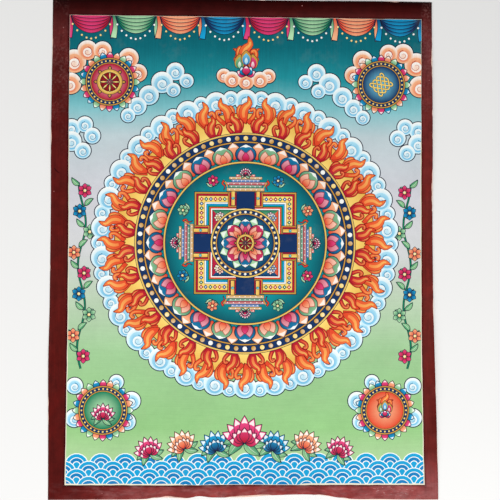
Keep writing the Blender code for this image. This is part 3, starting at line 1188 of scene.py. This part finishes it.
class Recipe:
    """A material's node tree, built by short calls. Its textures are measured in millimetres."""

    def __init__(self, name):
        self.material = bpy.data.materials.new(name)
        self.material.use_nodes = True
        self.tree = self.material.node_tree
        self.shader = self.tree.nodes["Principled BSDF"]
        metres = self.tree.nodes.new("ShaderNodeTexCoord").outputs["Object"]
        self.here = self.vector("MULTIPLY", metres, (1000, 1000, 1000))

    def add(self, kind, values, **settings):
        node = self.tree.nodes.new(kind)
        for name, value in settings.items():
            setattr(node, name, value)
        for socket, value in values.items():
            self.give(node.inputs[socket], value)
        return node

    def give(self, socket, value):
        if isinstance(value, bpy.types.NodeSocket):
            self.tree.links.new(value, socket)
        else:
            socket.default_value = value

    def vector(self, operation, a, b):
        return self.add("ShaderNodeVectorMath", {0: a, 1: b}, operation=operation).outputs[0]

    def sum(self, operation, a, b=0.0, c=0.0):
        return self.add("ShaderNodeMath", {0: a, 1: b, 2: c}, operation=operation).outputs[0]

    def times(self, *values):
        return functools.reduce(lambda a, b: self.sum("MULTIPLY", a, b), values)

    def plus(self, *values):
        return functools.reduce(lambda a, b: self.sum("ADD", a, b), values)

    def ramp(self, value, low, high, to_low=0.0, to_high=1.0):
        """The value, carried from one range to another and kept inside it."""
        return self.add("ShaderNodeMapRange", {0: value, 1: low, 2: high, 3: to_low, 4: to_high}).outputs[0]

    def stretched(self, x, y, z=1.0):
        return self.vector("MULTIPLY", self.here, (1 / x, 1 / y, 1 / z))

    def noise(self, x, y=None, detail=2.0, rough=0.5):
        """Noise from 0 to 1, whose spots measure x by y millimetres."""
        values = {"Vector": self.stretched(x, y or x), "Scale": 1.0, "Detail": detail, "Roughness": rough}
        return self.add("ShaderNodeTexNoise", values).outputs[0]

    def varied(self, low, high, *spots, **settings):
        """Noise that fills a range of values."""
        return self.ramp(self.noise(*spots, **settings), 0.3, 0.7, low, high)

    def places(self):
        """The place to the right and the place upwards."""
        return self.add("ShaderNodeSeparateXYZ", {0: self.here}).outputs[:2]

    def paint(self):
        return self.add("ShaderNodeAttribute", {}, attribute_name="paint").outputs[0]

    def mix(self, share, a, b, way="MIX"):
        node = self.add("ShaderNodeMix", {}, data_type="RGBA", blend_type=way)
        for socket, value in ((0, share), (6, a), (7, b)):
            self.give(node.inputs[socket], value)
        return node.outputs[2]

    def toned(self, share, colour, factors):
        """The colour, with a share of it multiplied by a factor for each of its channels."""
        return self.mix(share, colour, self.mix(1.0, colour, (*factors, 1), "MULTIPLY"))

    def shaded(self, colour, strength):
        """The colour, darker or lighter by a factor."""
        factor = self.add("ShaderNodeCombineColor", {0: strength, 1: strength, 2: strength}).outputs[0]
        return self.mix(1.0, colour, factor, "MULTIPLY")

    def weave(self, slack):
        """Height of a plain weave, from 0 to 1: threads that pass over and under each other."""
        wander = self.add("ShaderNodeTexNoise", {"Vector": self.stretched(9, 9), "Scale": 1.0, "Detail": 2.0})
        drift = self.vector("MULTIPLY", wander.outputs[1], (slack, slack, 0))
        parts = self.add("ShaderNodeSeparateXYZ", {0: self.vector("ADD", self.here, drift)})
        across, along = [self.sum("SINE", self.times(parts.outputs[i], math.pi / PITCH)) for i in (0, 1)]
        ridges = self.plus(self.sum("ABSOLUTE", across), self.sum("ABSOLUTE", along))
        return self.plus(self.times(across, along, 0.25), self.times(ridges, 0.35))

    def finish(self, colour, rough, height, depth, specular):
        self.give(self.shader.inputs["Base Color"], colour)
        self.give(self.shader.inputs["Roughness"], rough)
        self.shader.inputs["Specular IOR Level"].default_value = specular
        bump = self.add("ShaderNodeBump", {"Height": height, "Distance": depth * MM})
        self.give(self.shader.inputs["Normal"], bump.outputs[0])
        return self.material


PITCH = 0.62  # from one thread of the canvas to the next, in millimetres
PAINT_DEPTH, COTTON_DEPTH, CUT_DEPTH = 0.045, 0.14, 0.16  # of the bump, in millimetres


def painted_picture():
    """Opaque mineral colours on polished ground, with faint brush laps and the weave just showing."""
    r = Recipe("painted_picture")
    patches = r.varied(0.95, 1.04, 46, detail=3.0)
    washes = r.varied(0.975, 1.02, 7, detail=4.0)
    strokes, laps = r.varied(-1, 1, 1.3, 34, 3.0), r.varied(-1, 1, 30, 1.1, 3.0)
    up = r.places()[1]
    sky = r.times(strokes, r.ramp(up, 120, 190, 0.0, 0.07))
    field = r.times(laps, r.ramp(up, -60, 0, 0.028, 0.008))
    grain = r.ramp(r.noise(0.7, detail=4.0, rough=0.65), 0.25, 0.75, -0.055, 0.055)
    colour = r.shaded(r.paint(), r.times(patches, washes, r.plus(1.0, r.plus(sky, field, grain))))
    dust = r.ramp(r.noise(22, detail=5.0, rough=0.65), 0.55, 0.8, 0.0, 0.05)
    colour = r.mix(dust, colour, (*PRIMING, 1))
    rough = r.varied(0.56, 0.72, 14, detail=3.0)
    height = r.plus(r.weave(1.2), r.times(r.noise(2.4, 9, 3.0), 0.6))
    return r.finish(colour, rough, height, PAINT_DEPTH, 0.10)


def painted_border():
    """Maroon brushed on along each side: mottled, rubbed to a fine grain high up on both sides, and below the
    picture darker and redder by turns, with patches of pale painted sheen."""
    r = Recipe("painted_border")
    right, up = r.places()
    on_sides = r.ramp(r.sum("ABSOLUTE", right), HALF[0] - 1, HALF[0] + 1)
    along_y, along_x = r.noise(1.6, 38, 4.0), r.noise(38, 1.6, 4.0)
    blended = r.sum("MULTIPLY_ADD", on_sides, r.sum("SUBTRACT", along_y, along_x), along_x)
    strokes = r.ramp(blended, 0.3, 0.7, 0.87, 1.13)
    mottle = r.varied(0.8, 1.2, 13, detail=4.0, rough=0.6)
    specks = r.ramp(r.noise(1.7, detail=3.0, rough=0.6), 0.25, 0.75, 0.9, 1.1)
    colour = r.shaded(r.paint(), r.times(strokes, mottle, specks))
    redder = r.ramp(r.noise(19, 26, 2.0), 0.45, 0.7, 0.0, 0.6)
    colour = r.toned(redder, colour, (1.2, 0.78, 0.74))
    low = r.times(r.ramp(up, 4 - HALF[1], -HALF[1]), r.ramp(right, -184, -150, 0.2, 1.0))
    deep = r.ramp(r.noise(26, 7, 3.0), 0.45, 0.65, 0.0, 0.5)
    colour = r.toned(r.times(low, deep), colour, (0.8, 0.55, 0.55))
    # Pale patches below the picture: a painted sheen.
    painted_sheen = r.ramp(r.noise(15, 5.5, 4.0, 0.6), 0.45, 0.72, 0.0, 0.25)
    colour = r.mix(r.times(low, painted_sheen), colour, tint("b88482"))
    high = r.times(r.ramp(up, 90, 190), on_sides)
    rubbed = r.times(high, r.ramp(r.noise(24, detail=3.0), 0.42, 0.6, 0.1, 1.0))
    grain = r.ramp(r.noise(2.2, detail=5.0, rough=0.7), 0.46, 0.7, 0.0, 0.5)
    colour = r.mix(r.times(grain, rubbed), colour, tint("8c5c58"))
    smudges = r.ramp(r.noise(4, 15, 3.0), 0.54, 0.7, 0.0, 0.6)
    colour = r.toned(r.times(smudges, high), colour, (0.6, 0.5, 0.5))
    rough = r.varied(0.44, 0.58, 9, detail=3.0)
    height = r.plus(r.weave(1.2), r.times(r.noise(3.0, detail=3.0), 0.8))
    return r.finish(colour, rough, height, PAINT_DEPTH, 0.04)


def raw_cotton(r):
    """Undyed cotton: cream, thicker threads here and there, a few faint stains."""
    slubs = r.sum("MAXIMUM", *[r.ramp(r.noise(x, y, 2.0), 0.42, 0.7) for x, y in ((26, 0.8), (0.8, 26))])
    weave = r.weave(1.6)
    stains = r.ramp(r.noise(75, detail=4.0, rough=0.55), 0.5, 0.8, 0.0, 0.35)
    colour = r.mix(stains, tint("e4d8bf"), tint("d2c09a"))
    # The weave's hollows are painted darker, as shade between the threads, and the slubs vary the tone.
    shade = r.times(r.ramp(weave, 0.0, 0.9, 0.78, 1.05), r.ramp(slubs, 0.0, 1.0, 0.95, 1.05))
    for x, y in ((2.2, 120), (120, 2.2)):
        shade = r.times(shade, r.ramp(r.noise(x, y, 3.0), 0.35, 0.65, 0.955, 1.04))
    return r.shaded(colour, shade), weave, slubs


def cotton_back():
    """The unpainted side, with a little maroon soaked through at its rim."""
    r = Recipe("cotton_back")
    colour, weave, slubs = raw_cotton(r)
    past = [r.sum("SUBTRACT", r.sum("ABSOLUTE", place), half) for place, half in zip(r.places(), HALF)]
    out = r.ramp(r.sum("MAXIMUM", *past), 4, 17)
    soaked = r.ramp(r.noise(4, detail=5.0, rough=0.6), 0.42, 0.75, 0.0, 0.45)
    colour = r.mix(r.times(out, soaked), colour, tint("9a5a4e"))
    rough = r.ramp(weave, 0.0, 0.9, 0.95, 0.8)
    return r.finish(colour, rough, r.plus(weave, r.times(slubs, 0.5)), COTTON_DEPTH, 0.2)


def cut_edge():
    """The cut through primed cotton: rounded thread ends, rubbed with maroon."""
    r = Recipe("cut_edge")
    cells = {"Vector": r.stretched(PITCH, PITCH, 0.45), "Scale": 1.0, "Randomness": 0.6}
    away = r.add("ShaderNodeTexVoronoi", cells).outputs[0]
    ends = r.sum("SUBTRACT", 1.0, r.times(away, away))
    # Thread ends painted lighter at their crowns and darker where they meet: painted shade between them.
    colour = r.shaded(tint("e0ccba"), r.ramp(ends, 0.4, 1.0, 0.55, 1.04))
    rubbed = r.ramp(r.noise(9, detail=4.0, rough=0.65), 0.42, 0.62, 0.1, 0.7)
    colour = r.mix(rubbed, colour, tint("7a3a34"))
    height = r.plus(ends, r.times(r.noise(0.16), 0.3))
    return r.finish(colour, 0.9, height, CUT_DEPTH, 0.2)


# ---- floor, camera and light

FLOOR_SIDE, FLOOR_DROP = 3.0, -0.0002
FLOOR_TONE, FLOOR_ROUGHNESS = (0.80, 0.79, 0.77, 1), 0.85
CAMERA_DISTANCE = 0.50
CAMERA_OVER = (5.0, -1.374)  # the picture point, in millimetres, in the middle of the view
CAMERA_TURNS = (0.898, -0.912, 0.262)  # degrees about X, Y and Z from looking straight down
PIXELS_PER_METRE = 934.6
FRAME_PIXELS = 500
SENSOR = 36.0
SKY_TONE, SKY_STRENGTH = (0.95, 0.97, 1.0, 1), 0.42
# Columns: name, place, size, power.
SOFTBOXES = (
    ("window", (0.45, -1.15, 1.3), (1.2, 0.8), 24),
    ("side_light", (-1.5, -0.2, 1.1), (1.0, 1.4), 13),
)


def make_floor():
    mesh = bpy.data.meshes.new("floor")
    corners = box(FLOOR_SIDE, -FLOOR_SIDE, FLOOR_SIDE)
    mesh.from_pydata([(x, y, FLOOR_DROP) for x, y in corners], [], [(0, 1, 2, 3)])
    material = bpy.data.materials.new("floor_plain")
    material.use_nodes = True
    shader = material.node_tree.nodes["Principled BSDF"]
    shader.inputs["Base Color"].default_value = FLOOR_TONE
    shader.inputs["Roughness"].default_value = FLOOR_ROUGHNESS
    mesh.materials.append(material)
    floor = add_object("floor", mesh)


def add_camera():
    data = bpy.data.cameras.new("camera")
    data.sensor_width = SENSOR
    data.lens = PIXELS_PER_METRE * CAMERA_DISTANCE * SENSOR / FRAME_PIXELS
    turn = Euler([math.radians(a) for a in CAMERA_TURNS], "XYZ").to_matrix()
    aim = Vector(to_frame(np.array([CAMERA_OVER]), [THICKNESS])[0])
    camera = add_object("camera", data)
    camera.location = aim + turn @ Vector((0, 0, CAMERA_DISTANCE))
    camera.rotation_euler = turn.to_euler()
    bpy.context.scene.camera = camera


def add_light():
    """Soft daylight: even from all round, and a window beyond the bottom edge, to the right."""
    bpy.context.scene.view_settings.view_transform = "Standard"
    world = bpy.data.worlds.new("studio")
    bpy.context.scene.world = world
    world.use_nodes = True
    background = world.node_tree.nodes["Background"].inputs
    background["Color"].default_value = SKY_TONE
    background["Strength"].default_value = SKY_STRENGTH
    for name, place, size, power in SOFTBOXES:
        data = bpy.data.lights.new(name, "AREA")
        data.shape = "RECTANGLE"
        data.size, data.size_y = size
        data.energy = power
        lamp = add_object(name, data)
        lamp.location = place
        lamp.rotation_euler = (-Vector(place)).to_track_quat("-Z", "Y").to_euler()


add_camera()
add_light()
make_floor()
canvas = build_canvas([painted_picture(), painted_border(), cut_edge(), cotton_back()])
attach(canvas, "root")
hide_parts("canvas")
